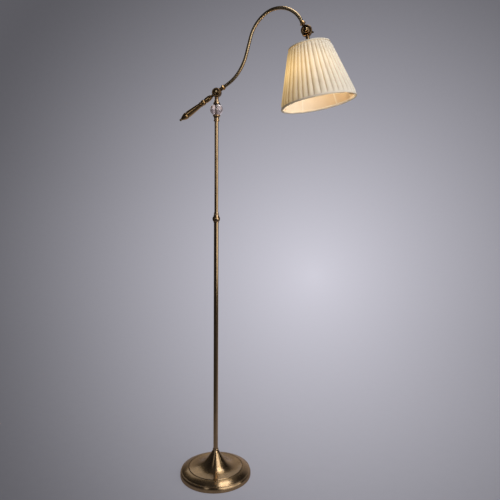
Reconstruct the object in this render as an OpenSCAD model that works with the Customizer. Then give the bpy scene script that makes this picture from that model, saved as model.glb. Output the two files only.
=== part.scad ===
// Reading floor lamp: a weighted round base, a two-stage brass column with a glass ball,
// a tilting twisted arm with a turned counterweight handle, and a tilting pleated shade.
// Origin: centre of the base on the floor. +Z up, the arm points along +X, hinges turn about Y.

/* [Base] */
// Radius of the base at the floor
base_r = 125; // [110:1:150]
// Height of the neck of the base above the floor
base_h = 84; // [78:1:110]
// Radius of the neck of the base
base_neck_r = 14; // [12:0.5:18]
// Width of the band and shoulder outside the inner plate
shoulder_w = 32; // [28:0.5:38]
// Height of the edge of the inner plate
plate_h = 32.2; // [30:0.1:36]
// Height of the upright band under the bead
band_h = 17.5; // [14:0.5:20]
// Thickness of the brass shell
shell_t = 1.2; // [0.8:0.1:2]
// Thickness of the felt pad
felt_t = 2; // [1.5:0.5:3]
// Gap between the iron weight and the rim
weight_gap = 12; // [11:1:20]

/* [Column] */
// Outer radius of the lower tube
low_r = 8; // [7.5:0.5:10]
// Wall of the lower tube
low_wall = 1; // [0.8:0.1:1.2]
// Outer radius of the upper tube
up_r = 6.5; // [6:0.1:6.6]
// Wall of the upper tube
up_wall = 1; // [0.8:0.1:1.2]
// Height of the top of the lower tube
low_top = 897; // [700:1:1000]
// Height of the foot of the lower cup
cup_z = 1234.5; // [1150:0.5:1300]
// How far the upper tube reaches into the lower one
overlap = 180; // [120:1:260]
// Radius of the clamp ball
clamp_r = 13; // [12.5:0.5:14.5]
// Radius of the glass ball
glass_r = 22; // [18:0.5:26]
// Radius of the threaded tube that ties the pieces together
stud_r = 5; // [4.5:0.1:5.2]
// Bore of the threaded tube
stud_bore_r = 3.2; // [2.5:0.1:3.6]

/* [Column hinge] */
// Height of the hinge pin above the floor
hinge_z = 1328; // [1310:1:1400]
// Radius of the hinge discs
disc_r = 15.5; // [14:0.5:18]
// Thickness of each hinge disc
disc_t = 8; // [6:0.5:10]
// Radius of the hinge pin
pin_r = 3; // [2.5:0.1:3.5]
// Radius of the ball on the pin
pin_ball_r = 4.8; // [4:0.1:6]
// Reach of the clamp lever from the pin
lever_reach = 22; // [20:0.5:26]
// Angle of the arm and handle line above level
hub_angle = 35; // [20:1:45]

/* [Handle] */
// Distance from the pin to the end of the hub
handle_start = 20; // [19:0.5:30]
// Length of the barrel next to the hub
barrel_len = 29; // [18:0.5:36]
// Radius of the barrel
barrel_r = 8.8; // [7.5:0.1:10]
// Length of the vase-shaped bead
vase_len = 19.5; // [16:0.5:26]
// Radius of the vase-shaped bead
vase_r = 9.6; // [8.8:0.1:12]
// Length of the tapered grip
grip_len = 53.5; // [40:0.5:90]
// Radius of the thin end of the grip
grip_thin_r = 7.2; // [5:0.1:8]
// Radius of the thick end of the grip
grip_thick_r = 10.8; // [8:0.1:13]
// Length of the acorn finial
finial_len = 26; // [20:0.5:40]
// Radius of the tip ball
tip_r = 4.2; // [3.8:0.1:5]
// Radius of the rod that the handle pieces are screwed onto
rod_r = 2.5; // [2:0.1:3]

/* [Arm] */
// Outer radius of the arm tube
arm_r = 5.5; // [5:0.1:6]
// Wall of the arm tube
arm_wall = 1; // [0.8:0.1:1.4]
// Distance from the pin to the first bend
arm_start = 48; // [44:1:70]
// Radius of the lower bend
bend_1_r = 133; // [100:1:180]
// Sweep of the lower bend
bend_1_a = 20; // [10:0.5:30]
// Radius of the second bend
bend_2_r = 180; // [140:1:240]
// Sweep of the second bend
bend_2_a = 20.5; // [10:0.5:30]
// Length of the straight stretch
arm_run = 55; // [40:1:100]
// Radius of the upper bend
bend_3_r = 130; // [100:1:180]
// Sweep of the upper bend
bend_3_a = 38.5; // [25:0.5:50]
// Radius of the crook
bend_4_r = 77; // [65:1:110]
// Sweep of the crook
bend_4_a = 98.5; // [80:0.5:110]
// Distance from the end of the crook to the shade pin
arm_end = 39; // [36:0.5:60]

/* [Shade hinge] */
// Radius of the shade hinge discs
knee_r = 18; // [15:0.5:19]
// Thickness of each shade hinge disc
knee_t = 8; // [6:0.5:10]
// Radius of the ball on the shade pin
knee_ball_r = 6; // [4.5:0.1:7]
// Tilt of the shade from upright
shade_tilt = 11; // [0:1:20]

/* [Lampholder and bulb] */
// Radius of the lampholder
holder_r = 19; // [17:0.5:21]
// Length of the lampholder
holder_len = 38; // [32:1:50]
// Radius of the bulb
bulb_r = 28; // [20:0.5:32]
// Length of the bulb from its cap to its crown
bulb_len = 78; // [70:1:84]

/* [Shade] */
// Distance from the shade pin to the top of the shade
shade_drop = 46.5; // [44:0.5:60]
// Height of the shade along its axis
shade_h = 185; // [170:1:240]
// Radius of the top of the shade
shade_top_r = 67; // [60:1:90]
// Radius of the bottom of the shade
shade_bottom_r = 123; // [105:1:150]
// Number of pleats
pleats = 39; // [24:1:40]
// Depth of the pleats where they are full, at the top
pleat_top = 2.6; // [1.5:0.1:3.5]
// Depth of the pleats where they are full, at the bottom
pleat_bottom = 3.8; // [2:0.1:5]
// Depth of the pleats where they are pressed under a binding
pleat_edge = 0.8; // [0.5:0.1:1.2]
// Length over which the pleats open out from a binding
pleat_run = 11; // [6:1:20]
// Thickness of the pleated cloth
cloth_t = 1; // [0.8:0.1:1.6]
// Thickness of the lining
lining_t = 0.6; // [0.5:0.1:1.2]
// Radius of the wire of the shade rings
wire_r = 1.2; // [1:0.1:1.5]
// Radius of the wire of the shade struts
strut_r = 0.8; // [0.6:0.1:1]
// Height of the binding at the top edge
binding_top = 5; // [5:0.5:8]
// Height of the binding at the bottom edge
binding_bottom = 6.5; // [5:0.5:10]

/* [Hidden] */
$fn = 72;

brass = "#6e5530";
dark_brass = "#3a2a16";
iron = "#3c3c3e";
steel = "#a8aaac";
felt = "#2c3a2e";
cream = "#f0e2c0";
lining_white = "#f7f2e6";
black_plastic = "#26241f";
clear = [0.85, 0.9, 0.92, 0.4];
opal = [0.98, 0.95, 0.86, 0.9];

// Clearances: between flat faces that slide, round a turning pin, between curved neighbours
face_gap = 0.1;
pin_gap = 0.05;
seat_gap = 0.3;
// Height of the seat ring under the ball of a pin
pin_seat_h = 1.3;

// Points of an arc round [cx, cy], from one angle to another
function arc(cx, cy, r, from, to, n = 10) =
    [for (i = [0:n]) let (a = from + (to - from) * i / n) [cx + r * cos(a), cy + r * sin(a)]];

// A flaring arc that starts at p with the slope s0 below level and ends with the slope s1
function flare(p, r, s0, s1, n = 10) =
    [for (i = [0:n]) let (s = s0 + (s1 - s0) * i / n)
        [p[0] + r * (sin(s0) - sin(s)), p[1] - r * (cos(s) - cos(s0))]];

function last(list) = list[len(list) - 1];
function tail(list) = [for (i = [1:len(list) - 1]) list[i]];
function reversed(list) = [for (i = [len(list) - 1:-1:0]) list[i]];

// A line of points moved to its right by t
function moved(line, t) =
    [for (i = [0:len(line) - 1])
        let (a = line[max(i - 1, 0)],
             b = line[min(i + 1, len(line) - 1)],
             d = b - a,
             u = d / norm(d))
        line[i] + t * [-abs(u[1]), u[0] > 0 ? -u[0] : u[0]]];

// Base outline, from the neck out to the rim
plate_r = base_r - shoulder_w;
flare_h = base_h - plate_h;
// Slopes of the trumpet in degrees: at its neck, at its waist, where the plate begins, at the plate's edge
neck_slope = 58;
waist_slope = 50;
foot_slope = 8;
plate_slope = 2;
flare_1 = flare([base_neck_r, base_h], 5.08 * flare_h, neck_slope, waist_slope);
flare_2 = flare(last(flare_1), 1.1 * flare_h, waist_slope, foot_slope);
flare_3_r = (plate_r - last(flare_2)[0]) / (sin(foot_slope) - sin(plate_slope));
flare_3 = flare(last(flare_2), flare_3_r, foot_slope, plate_slope, 6);
plate_edge = last(flare_3);
groove_w = 1.2;
groove_depth = 2;
rim_z = felt_t / 2;
band_top = rim_z + band_h;
bead_r = 1.6;
// The shoulder is an arc from the groove to the bead
shoulder_in = [plate_edge[0] + 3.2, plate_edge[1] - 0.9];
shoulder_out = [base_r - 5.4, band_top + 2.6];
shoulder_slope = atan((shoulder_in[1] - shoulder_out[1]) / (shoulder_out[0] - shoulder_in[0]));
shoulder_bow = 15;
shoulder_r = norm(shoulder_out - shoulder_in) / (2 * sin(shoulder_bow));
shoulder_x = shoulder_in[0] - shoulder_r * sin(shoulder_slope - shoulder_bow);
shoulder_z = shoulder_in[1] - shoulder_r * cos(shoulder_slope - shoulder_bow);
base_outline = concat(
    flare_1,
    tail(flare_2),
    tail(flare_3),
    [[plate_edge[0] + 1.2, plate_edge[1] - 0.9]],
    [[plate_edge[0] + 1.6, plate_edge[1] - 0.9 - groove_depth]],
    [[plate_edge[0] + 1.6 + groove_w, plate_edge[1] - 0.9 - groove_depth]],
    arc(shoulder_x, shoulder_z, shoulder_r, 90 - shoulder_slope + shoulder_bow,
        90 - shoulder_slope - shoulder_bow, 12),
    arc(base_r - 4.6, band_top + 1, bead_r, 80, -50, 6),
    arc(base_r - 12, band_top - 9, 12, 40, 6, 5),
    [[base_r, rim_z + 2], [base_r - 0.8, rim_z]]
);
base_lining = moved(base_outline, shell_t);
neck_floor = base_h - shell_t;

// Weight: a plate that backs the shell just inside the groove
recess_r = 42;
recess_h = 10;
weight_r = base_r - weight_gap;
weight_top = plate_edge[1] - shell_t - seat_gap;
weight_step = plate_edge[1] - groove_depth - shell_t - 4.4;
inlet_z = 7.6;
inlet_r = 4;
inlet_bore_len = 30;
slot_w = 10;
stud_bottom = felt_t + 1;

// Column pieces
collar_h = 13;
low_bottom = base_h + collar_h;
plug_len = 20;
stud_top = low_bottom + plug_len - 4;
clamp_ball_z = low_top + 13;
clamp_top = low_top + 34.5;
clamp_bottom = low_top + 0.4;
bush_len = 30;
bush_collar_h = 0.3;
up_bottom = low_top - overlap;
slide_bush_len = 24;
cup_socket = 6;
up_top = cup_z + cup_socket;
cup_h = 19.5;
cup_top = cup_z + cup_h;
glass_half = 20.25;
glass_dip = 1.5;
// Radius just outside the ball where a cup's lip ends on it
lip_r = glass_r * sqrt(1 - pow(0.96 * (1 - glass_dip / glass_half), 2)) + 0.25;
upper_cup_r = lip_r + 1.2;
cup_flare_r = lip_r + 2.5;
glass_low = cup_top - glass_dip;
glass_z = glass_low + glass_half;
glass_high = glass_z + glass_half;
upper_cup_low = glass_high - glass_dip;
neck_r = 6.6;
cup_seat = upper_cup_low + 2.2;

// Arm path: each step is [bend radius, sweep], or [0, length] for a straight stretch
arm_path = [
    [0, arm_start], [bend_1_r, bend_1_a], [bend_2_r, bend_2_a], [0, arm_run],
    [bend_3_r, -bend_3_a], [bend_4_r, -bend_4_a], [0, arm_end]
];

// Where the arm is, and which way it heads, after one more step
function stepped(at, step) =
    step[0] == 0
        ? [at[0] + step[1] * cos(at[2]), at[1] + step[1] * sin(at[2]), at[2]]
        : let (side = sign(step[1]), end = at[2] + step[1])
          [at[0] + side * step[0] * (sin(end) - sin(at[2])),
           at[1] - side * step[0] * (cos(end) - cos(at[2])),
           end];
function arm_at(n) = n == 0 ? [0, hinge_z, hub_angle] : stepped(arm_at(n - 1), arm_path[n - 1]);
shade_pin_at = arm_at(len(arm_path));

// Handle places, as distances from the pin
hub_end = 22;
spigot_r = 3.5;
spigot_len = 6;
barrel_end = handle_start + barrel_len;
vase_end = barrel_end + vase_len;
grip_end = vase_end + grip_len;
finial_end = grip_end + finial_len;
tip_at = finial_end + tip_r - 0.8;

// Arm fittings
bell_neck = knee_r + 4.5;
ferrule_end = 33;
tube_in = hub_end + spigot_len + 0.2;
bell_end = bell_neck + 11;
bell_r = 9.8;

// Shade fittings, as distances from the shade pin along the shade
stem_top = knee_r + 5.5;
cap_top = 30;
cap_len = 16;
holder_top = cap_top + cap_len;
holder_end = holder_top + holder_len;
carrier_at = holder_top + 14;
carrier_t = 1.6;
nut_t = 4;
nut_r = holder_r + 5;
shade_end = shade_drop + shade_h;
slope = (shade_bottom_r - shade_top_r) / shade_h;

// Shade wall, built outwards and inwards from the cone that the struts lie on
edge_wall = 0.7;
fold_gap = 0.3;
wire_gap = 0.2;
frame_in = edge_wall + fold_gap + pleat_edge + cloth_t + wire_gap + strut_r;
function frame_r(s) = shade_top_r - frame_in + slope * (s - shade_drop);
function valley_in(s) = frame_r(s) + strut_r + wire_gap;
function lining_out(s) = frame_r(s) - strut_r - wire_gap;
function full_depth(s) = pleat_top + (pleat_bottom - pleat_top) * (s - shade_drop) / shade_h;
function rim_out(s) = valley_in(s) + cloth_t + pleat_edge + fold_gap;
function rim_in(s) = lining_out(s) - lining_t - fold_gap;
ring_in = edge_wall + wire_gap + wire_r;
lining_in = ring_in + wire_r + fold_gap;
cloth_reach = 0.8;
top_ring_at = shade_drop + ring_in;
bottom_ring_at = shade_end - ring_in;
carrier_angles = [30, 150, 270];
carrier_out = nut_r + 2.5;
carrier_level = 8;
bulb_cap_top = holder_end - 26;
bulb_neck = holder_end + 1;

// Place things on the arm line, at the shade pin, or along the shade
module on_hub() translate([0, 0, hinge_z]) rotate([0, -hub_angle, 0]) children();
module on_arm_end() translate([shade_pin_at[0], 0, shade_pin_at[1]])
    rotate([0, -shade_pin_at[2] + 180, 0]) children();
module at_shade() translate([shade_pin_at[0], 0, shade_pin_at[1]]) rotate([0, -shade_tilt, 0])
    children();
module along_arm() on_hub() rotate([0, 90, 0]) children();
module along_handle() on_hub() rotate([0, -90, 0]) children();
module down_shade() at_shade() rotate([180, 0, 0]) children();
module up_bell() on_arm_end() rotate([0, 90, 0]) children();

// A turned piece from its outline of [radius, height] points
module turned(outline) rotate_extrude() polygon(outline);

module ring(z0, z1, r_in, r_out) {
    translate([0, 0, z0]) difference() {
        cylinder(h = z1 - z0, r = r_out);
        translate([0, 0, -1]) cylinder(h = z1 - z0 + 2, r = r_in);
    }
}

// A round bar across the hinge, between two places along Y
module across(y0, y1, r) translate([0, y0, 0]) rotate([-90, 0, 0]) cylinder(h = y1 - y0, r = r);

// Base
module base_felt() color(felt) cylinder(h = felt_t, r = base_r - 7);

module base_weight() {
    color(iron) difference() {
        turned([
            [stud_r + 0.3, felt_t + recess_h], [recess_r, felt_t + recess_h], [recess_r, felt_t],
            [weight_r - 2, felt_t], [weight_r, felt_t + 3], [weight_r, felt_t + 11],
            [weight_r - 7, weight_step - 2], [plate_r - 1.5, weight_step],
            [plate_r - 3, weight_top],
            [plate_r - 9, weight_top], [plate_r - 16, weight_top - 2], [stud_r + 0.3, weight_top - 2]
        ]);
        translate([-slot_w / 2, 0, felt_t - 1]) cube([slot_w, base_r, recess_h + 1]);
    }
}

module base_shell() {
    color(brass) difference() {
        turned(concat(
            [[stud_r + 0.2, base_h]],
            base_outline,
            reversed([for (p = base_lining) if (p[1] < neck_floor && p[1] > rim_z) p]),
            [[base_neck_r - shell_t, neck_floor], [stud_r + 0.2, neck_floor]]
        ));
        translate([0, base_r - 2 * inlet_bore_len / 3, inlet_z]) rotate([-90, 0, 0])
            cylinder(h = inlet_bore_len, r = inlet_r + 0.1);
    }
}

module base_washer()
    color(steel) ring(felt_t + recess_h - 2, felt_t + recess_h, stud_r + 0.2, 18);

module base_nut() {
    color(steel) translate([0, 0, felt_t + recess_h - 8]) difference() {
        cylinder(h = 6, r = 9.5, $fn = 6);
        translate([0, 0, -1]) cylinder(h = 8, r = stud_r + 0.05);
    }
}

module cord_inlet() {
    color(black_plastic) translate([0, base_r, inlet_z]) rotate([90, 0, 0]) turned([
        [2.6, -2.2], [4.4, -2.2], [5.2, -1.4], [5.2, -0.1], [inlet_r, -0.1], [inlet_r, 8],
        [2.6, 8]
    ]);
}

module base_stud() color(steel) ring(stud_bottom, stud_top, stud_bore_r, stud_r);

// Column
module foot_collar() {
    color(brass) turned([
        [stud_r + 0.1, base_h], [base_neck_r, base_h], [base_neck_r, base_h + 0.8],
        [base_neck_r - 0.7, base_h + 1.5], [low_r + 1.8, base_h + collar_h - 6.6],
        [low_r + 1, base_h + collar_h - 6.2], [low_r + 1, base_h + collar_h - 5.4],
        [low_r + 2, base_h + collar_h - 4.8], [low_r + 2, base_h + collar_h - 1.6],
        [low_r + 1.2, base_h + collar_h], [stud_r + 0.1, base_h + collar_h]
    ]);
}

module lower_plug()
    color(steel) ring(low_bottom, low_bottom + plug_len, stud_r + 0.05, low_r - low_wall - 0.02);

module lower_tube() color(brass) ring(low_bottom, low_top, low_r - low_wall, low_r);

// Guide bush pressed into the top of the lower tube, with a thin collar over its end
module guide_bush() {
    color(dark_brass) turned([
        [up_r + pin_gap, low_top - bush_len], [low_r - low_wall - 0.02, low_top - bush_len],
        [low_r - low_wall - 0.02, low_top], [low_r, low_top],
        [low_r, low_top + bush_collar_h], [up_r + pin_gap, low_top + bush_collar_h]
    ]);
}

// Ball with a cone above it, which clamps the upper tube when it is turned
module clamp_ball() {
    ball_low = -acos((low_r + 0.9) / clamp_r);
    ball_high = acos(8.6 / clamp_r);
    color(brass) turned(concat(
        [[up_r + pin_gap, clamp_bottom], [low_r + 1.4, clamp_bottom],
         [low_r + 1.4, clamp_bottom + 2.2], [low_r + 0.8, clamp_bottom + 2.8]],
        arc(0, clamp_ball_z, clamp_r, ball_low, ball_high, 16),
        [[9.6, clamp_ball_z + 10.4], [9.6, clamp_ball_z + 11.4], [8.2, clamp_ball_z + 12.8],
         [up_r + 1.2, clamp_top - 3.4], [up_r + 1.9, clamp_top - 2.6],
         [up_r + 1.9, clamp_top - 0.8], [up_r + 1.1, clamp_top], [up_r + pin_gap, clamp_top]]
    ));
}

module slide_bush() {
    color(dark_brass) ring(up_bottom - 2, up_bottom - 2 + slide_bush_len,
        up_r + 0.01, low_r - low_wall - pin_gap);
}

module upper_tube() color(brass) ring(up_bottom, up_top, up_r - up_wall, up_r);

module upper_plug()
    color(steel) ring(up_top - plug_len, up_top, stud_r + 0.05, up_r - up_wall - 0.02);

module lower_cup() {
    color(brass) turned(concat(
        [[up_r + 0.02, cup_z], [9.2, cup_z], [9.4, cup_z + 1], [9.4, cup_z + 3.6],
         [8.6, cup_z + 4.8], [8, cup_z + 5.4], [8, cup_z + 7]],
        [for (a = [15:15:75])
            [8 + (cup_flare_r - 8.4) * (1 - cos(a)), cup_z + 7 + 9.6 * sin(a)]],
        [[cup_flare_r, cup_z + 17.2], [cup_flare_r, cup_top],
         [lip_r + 1, cup_top], [lip_r - 0.8, glass_low], [stud_r + 0.2, glass_low],
         [stud_r + 0.2, up_top],
         [up_r + 0.02, up_top]]
    ));
}

module glass_ball() {
    flat_a = asin(0.96);
    color(clear) turned(concat(
        [[stud_r + 0.3, glass_low]],
        [for (a = [-flat_a:flat_a / 10:flat_a])
            [(glass_r) * cos(a), glass_z + glass_half * sin(a) / 0.96]],
        [[stud_r + 0.3, glass_high]]
    ));
}

module ball_stud() {
    color(steel) ring(up_top - plug_len, cup_seat + 7, stud_bore_r, stud_r);
}

module upper_cup() {
    color(brass) turned([
        [stud_r + 0.1, glass_high], [lip_r - 0.8, glass_high], [lip_r, upper_cup_low],
        [upper_cup_r, upper_cup_low], [upper_cup_r, upper_cup_low + 1.4],
        [upper_cup_r - 0.9, upper_cup_low + 3.4], [8.2, upper_cup_low + 6.6],
        [7.6, upper_cup_low + 9.4], [7.6, upper_cup_low + 11], [neck_r, upper_cup_low + 12],
        [neck_r, upper_cup_low + 14.4], [stud_r + 0.1, upper_cup_low + 14.4]
    ]);
}

// Shares of a hinge disc's radius and thickness, for its rim and the floor of its dish
disc_rim = 0.82;
dish_floor = 0.7;

// The front disc of a hinge: a rounded shoulder, a narrow rim and a dish round the pin seat
module dished_disc(r, t) {
    rim = disc_rim * r;
    dish_out = rim - 1;
    dish_in = pin_r + 3.2;
    dish_mid = (dish_out + dish_in) / 2;
    dish_half = (dish_out - dish_in) / 2;
    dish_depth = (1 - dish_floor) * t;
    rotate([90, 0, 0]) turned(concat(
        [[0, face_gap / 2], [r, face_gap / 2]],
        [for (a = [0:15:90]) [rim + (r - rim) * cos(a), 0.45 * t + 0.55 * t * sin(a)]],
        [for (a = [0:15:180]) [dish_mid + dish_half * cos(a), t - dish_depth * sin(a)]],
        [[0, t]]
    ));
}

// Half of a hinge: a disc that takes up one side, and round bosses outside the other disc
module lap_disc(r, t, side) {
    difference() {
        union() {
            if (side > 0) across(face_gap / 2, t, r);
            else dished_disc(r, t);
            difference() {
                children();
                if (side > 0) across(-2 * t, face_gap / 2, r + seat_gap);
                else {
                    across(-face_gap / 2, 2 * t, r + seat_gap);
                    across(-2 * t, -dish_floor * t, disc_rim * r);
                }
            }
        }
        across(-2 * t, 2 * t, pin_r + pin_gap);
    }
}

// A pin with a seat ring in front, from the foot of its ball to its end behind
module pin_bar(t, length) {
    across(-t - pin_seat_h, length, pin_r);
    across(-t - pin_seat_h, -t - face_gap, pin_r + 2.6);
}

module pin_ball(t, r) {
    translate([0, -t - pin_seat_h, 0]) rotate([90, 0, 0])
        turned(concat([[0, 0]], arc(0, 0.8 * r, r, -asin(0.8), 90, 16)));
}

// A one-winged lever on the rear of the pin, pointing along +X
module lever(t, reach) {
    back = t + 1 + face_gap;
    hub_r = 6;
    tip = 2;
    difference() {
        union() {
            across(back, back + 7, hub_r);
            translate([0, back + 1.4, 0]) rotate([-90, 0, 0]) linear_extrude(3.2)
                polygon([[0, -4.8], [0, 4.8], [reach - tip - 4, 3.6], [reach - tip, tip],
                         [reach - tip, -tip], [reach - tip - 4, -3.6]]);
            translate([reach - tip, back + 1.4, 0]) rotate([-90, 0, 0]) cylinder(h = 3.2, r = tip);
        }
        across(0, 40, pin_r + pin_gap);
    }
}

module column_knuckle() {
    color(brass) translate([0, 0, hinge_z]) lap_disc(disc_r, disc_t, 1)
        translate([0, 0, upper_cup_low + 14.4 - hinge_z])
            cylinder(h = hinge_z - upper_cup_low - 14.4 - 6, r = neck_r);
}

module column_pin() color(brass) translate([0, 0, hinge_z]) pin_bar(disc_t, disc_t + 9);
module column_pin_ball() color(brass) translate([0, 0, hinge_z]) pin_ball(disc_t, pin_ball_r);
module column_washer()
    color(steel) translate([0, 0, hinge_z]) difference() {
        across(disc_t, disc_t + 1, 6.5);
        across(0, disc_t + 2, pin_r + pin_gap);
    }
module column_lever()
    color(brass) translate([0, 0, hinge_z]) rotate([0, 90, 0]) lever(disc_t, lever_reach);

// Moving half of the column hinge, with a boss for the arm and a neck for the handle
module hub_knuckle() {
    color(brass) on_hub() lap_disc(disc_r, disc_t, -1) {
        rotate([0, 90, 0]) cylinder(h = hub_end, r = 6);
        rotate([0, 90, 0]) cylinder(h = hub_end + spigot_len, r = spigot_r);
        rotate([0, -90, 0]) cylinder(h = handle_start, r = 4.6);
    }
}

module handle_barrel() {
    color(brass) along_handle() turned([
        [rod_r + 0.05, handle_start], [5.6, handle_start], [6.8, handle_start + 1],
        [7.2, handle_start + 4.4], [6.2, handle_start + 5.4], [6.2, handle_start + 6],
        [barrel_r - 0.8, handle_start + 7], [barrel_r, handle_start + 11],
        [barrel_r, barrel_end - 6], [barrel_r - 1.6, barrel_end],
        [rod_r + 0.05, barrel_end]
    ]);
}

module handle_vase() {
    color(brass) along_handle() turned(concat(
        [[rod_r + 0.05, barrel_end], [7, barrel_end]],
        [for (a = [-50:20:90])
            [6.4 + (vase_r - 6.4) * cos(a), barrel_end + 5.6 + (a < 0 ? 5.4 : 8.2) * sin(a)]],
        [[6.4, vase_end - 4.8], [9.2, vase_end - 4.2], [9.2, vase_end - 2], [7.2, vase_end],
         [rod_r + 0.05, vase_end]]
    ));
}

module handle_grip() {
    color(brass) along_handle() turned(concat(
        [[rod_r + 0.05, vase_end], [grip_thin_r, vase_end]],
        [for (t = [0.1:0.1:0.9])
            [grip_thin_r + (grip_thick_r - grip_thin_r) * pow(t, 0.8),
             vase_end + (grip_len - 4) * t]],
        [[grip_thick_r, grip_end - 3], [grip_thick_r - 1, grip_end - 1],
         [grip_thick_r - 2.2, grip_end], [rod_r + 0.05, grip_end]]
    ));
}

module handle_finial() {
    top_r = grip_thick_r + 0.4;
    color(brass) along_handle() turned(concat(
        [[rod_r + 0.05, grip_end], [grip_thick_r - 2.2, grip_end],
         [top_r - 1, grip_end + 1.4], [top_r, grip_end + 4]],
        [for (t = [0.15:0.12:0.87])
            [top_r - (top_r - 3.8) * pow(t, 1.9), grip_end + 4 + (finial_len - 5) * t]],
        [[3.6, finial_end - 0.6], [3.6, finial_end], [rod_r + 0.05, finial_end]]
    ));
}

module handle_tip() {
    color(brass) along_handle() difference() {
        translate([0, 0, tip_at]) sphere(r = tip_r);
        translate([0, 0, finial_end - 20]) cylinder(h = 20, r = tip_r + 1);
        cylinder(h = tip_at + 1, r = rod_r + 0.05);
    }
}

module handle_rod()
    color(steel) along_handle() translate([0, 0, handle_start])
        cylinder(h = tip_at + 0.8 - handle_start, r = rod_r);

// Arm
module arm_ferrule() {
    color(brass) along_arm() turned([
        [spigot_r + 0.05, hub_end], [6, hub_end], [6.6, hub_end + 1.4], [8.2, hub_end + 3],
        [9.2, hub_end + 4.6], [9.2, hub_end + 6], [8, hub_end + 7.6], [7, hub_end + 8.6],
        [6.8, ferrule_end + 1], [arm_r + 0.02, ferrule_end + 1], [arm_r + 0.02, tube_in],
        [spigot_r + 0.05, tube_in]
    ]);
}

// A bend of the arm tube that leaves along +X and turns up
module arm_bend(radius, sweep) {
    translate([0, 0, radius]) rotate([90, 0, 0]) rotate([0, 0, -90])
        rotate_extrude(angle = sweep) translate([radius, 0]) difference() {
            circle(r = arm_r);
            circle(r = arm_r - arm_wall);
        }
}

// The arm tube from step n on, drawn from where that step starts and along +X.
// Each stretch stops short of the next, and a brazed joint fills the gap between them.
braze_gap = 0.1;
braze_len = 0.8;
braze_proud = 0.03;
module arm_from(n) {
    step = arm_path[n];
    more = n < len(arm_path) - 1;
    if (n > 0)
        translate([-(braze_len + braze_gap) / 2, 0, 0]) rotate([0, 90, 0])
            ring(0, braze_len, arm_r - arm_wall - braze_proud, arm_r + braze_proud);
    if (step[0] == 0) {
        start = n == 0 ? tube_in : 0;
        end = step[1] - (more ? braze_gap : bell_neck + spigot_len);
        translate([start, 0, 0]) rotate([0, 90, 0]) ring(0, end - start, arm_r - arm_wall, arm_r);
        if (more) translate([step[1], 0, 0]) arm_from(n + 1);
    } else {
        centre = sign(step[1]) * step[0];
        sweep = abs(step[1]) - asin(braze_gap / step[0]);
        if (step[1] > 0) arm_bend(step[0], sweep);
        else mirror([0, 0, 1]) arm_bend(step[0], sweep);
        if (more)
            translate([0, 0, centre]) rotate([0, -step[1], 0]) translate([0, 0, -centre])
                arm_from(n + 1);
    }
}

module arm_tube() color(dark_brass) on_hub() arm_from(0);

module arm_bell() {
    color(brass) up_bell() turned([
        [spigot_r + 0.05, bell_neck], [6, bell_neck], [8.6, bell_neck + 1],
        [bell_r, bell_neck + 2.2], [bell_r, bell_neck + 3.6], [8.2, bell_neck + 4.8],
        [7, bell_neck + 7], [6.4, bell_end - 1.6], [6.2, bell_end],
        [arm_r + 0.02, bell_end], [arm_r + 0.02, bell_neck + spigot_len],
        [spigot_r + 0.05, bell_neck + spigot_len]
    ]);
}

module arm_knuckle() {
    color(brass) on_arm_end() lap_disc(knee_r, knee_t, 1) {
        rotate([0, 90, 0]) cylinder(h = bell_neck, r = 5.4);
        rotate([0, 90, 0]) cylinder(h = bell_neck + spigot_len - 0.3, r = spigot_r);
    }
}

module shade_pin() color(brass) at_shade() pin_bar(knee_t, knee_t + 9);
module shade_pin_ball() color(brass) at_shade() pin_ball(knee_t, knee_ball_r);
module shade_washer()
    color(steel) at_shade() difference() {
        across(knee_t, knee_t + 1, 6.5);
        across(0, knee_t + 2, pin_r + pin_gap);
    }
module shade_lever() {
    color(brass) translate([shade_pin_at[0], 0, shade_pin_at[1]]) rotate([0, 4, 0])
        lever(knee_t, lever_reach + 1);
}

// Shade side of the hinge
module shade_knuckle() {
    color(brass) at_shade() lap_disc(knee_r, knee_t, -1)
        rotate([180, 0, 0]) translate([0, 0, knee_r / 2])
            cylinder(h = stem_top - knee_r / 2, r1 = knee_t - 0.4, r2 = 5.8);
}

module holder_stem() {
    color(brass) down_shade() turned([
        [stud_bore_r, stem_top], [5.8, stem_top], [6.9, stem_top + 0.8], [7.3, stem_top + 2.2],
        [6.9, stem_top + 3.6], [6, stem_top + 4.6], [6, cap_top],
        [stud_r, cap_top], [stud_r, cap_top + 8], [stud_bore_r, cap_top + 8]
    ]);
}

module holder_cap() {
    color(brass) down_shade() turned(concat(
        [[stud_r + 0.05, cap_top]],
        [[9, cap_top]],
        [for (a = [70:-14:0]) [9 + (holder_r - 9) * cos(a), cap_top + 14 - 14 * sin(a)]],
        [[holder_r, holder_top], [holder_r - 1.5, holder_top], [holder_r - 1.5, cap_top + 14]],
        [for (a = [0:14:70])
            [9 + (holder_r - 10.5) * cos(a), cap_top + 14 - 12.4 * sin(a)]],
        [[stud_r + 0.05, cap_top + 1.5]]
    ));
}

module holder_body() {
    color(black_plastic) down_shade() turned([
        [0, holder_top - 2], [holder_r - 1.6, holder_top - 2], [holder_r - 1.6, holder_top],
        [holder_r, holder_top], [holder_r, holder_end], [14.2, holder_end],
        [14.2, bulb_cap_top - 3], [0, bulb_cap_top - 3]
    ]);
}

module holder_contact() {
    color(steel) down_shade() translate([-3, -6, bulb_cap_top - 3]) cube([6, 12, 0.8]);
}

module ring_nuts() {
    color(black_plastic) down_shade() {
        ring(carrier_at - nut_t, carrier_at, holder_r + 0.02, nut_r);
        ring(carrier_at + carrier_t, carrier_at + carrier_t + nut_t, holder_r + 0.02, nut_r);
    }
}

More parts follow.
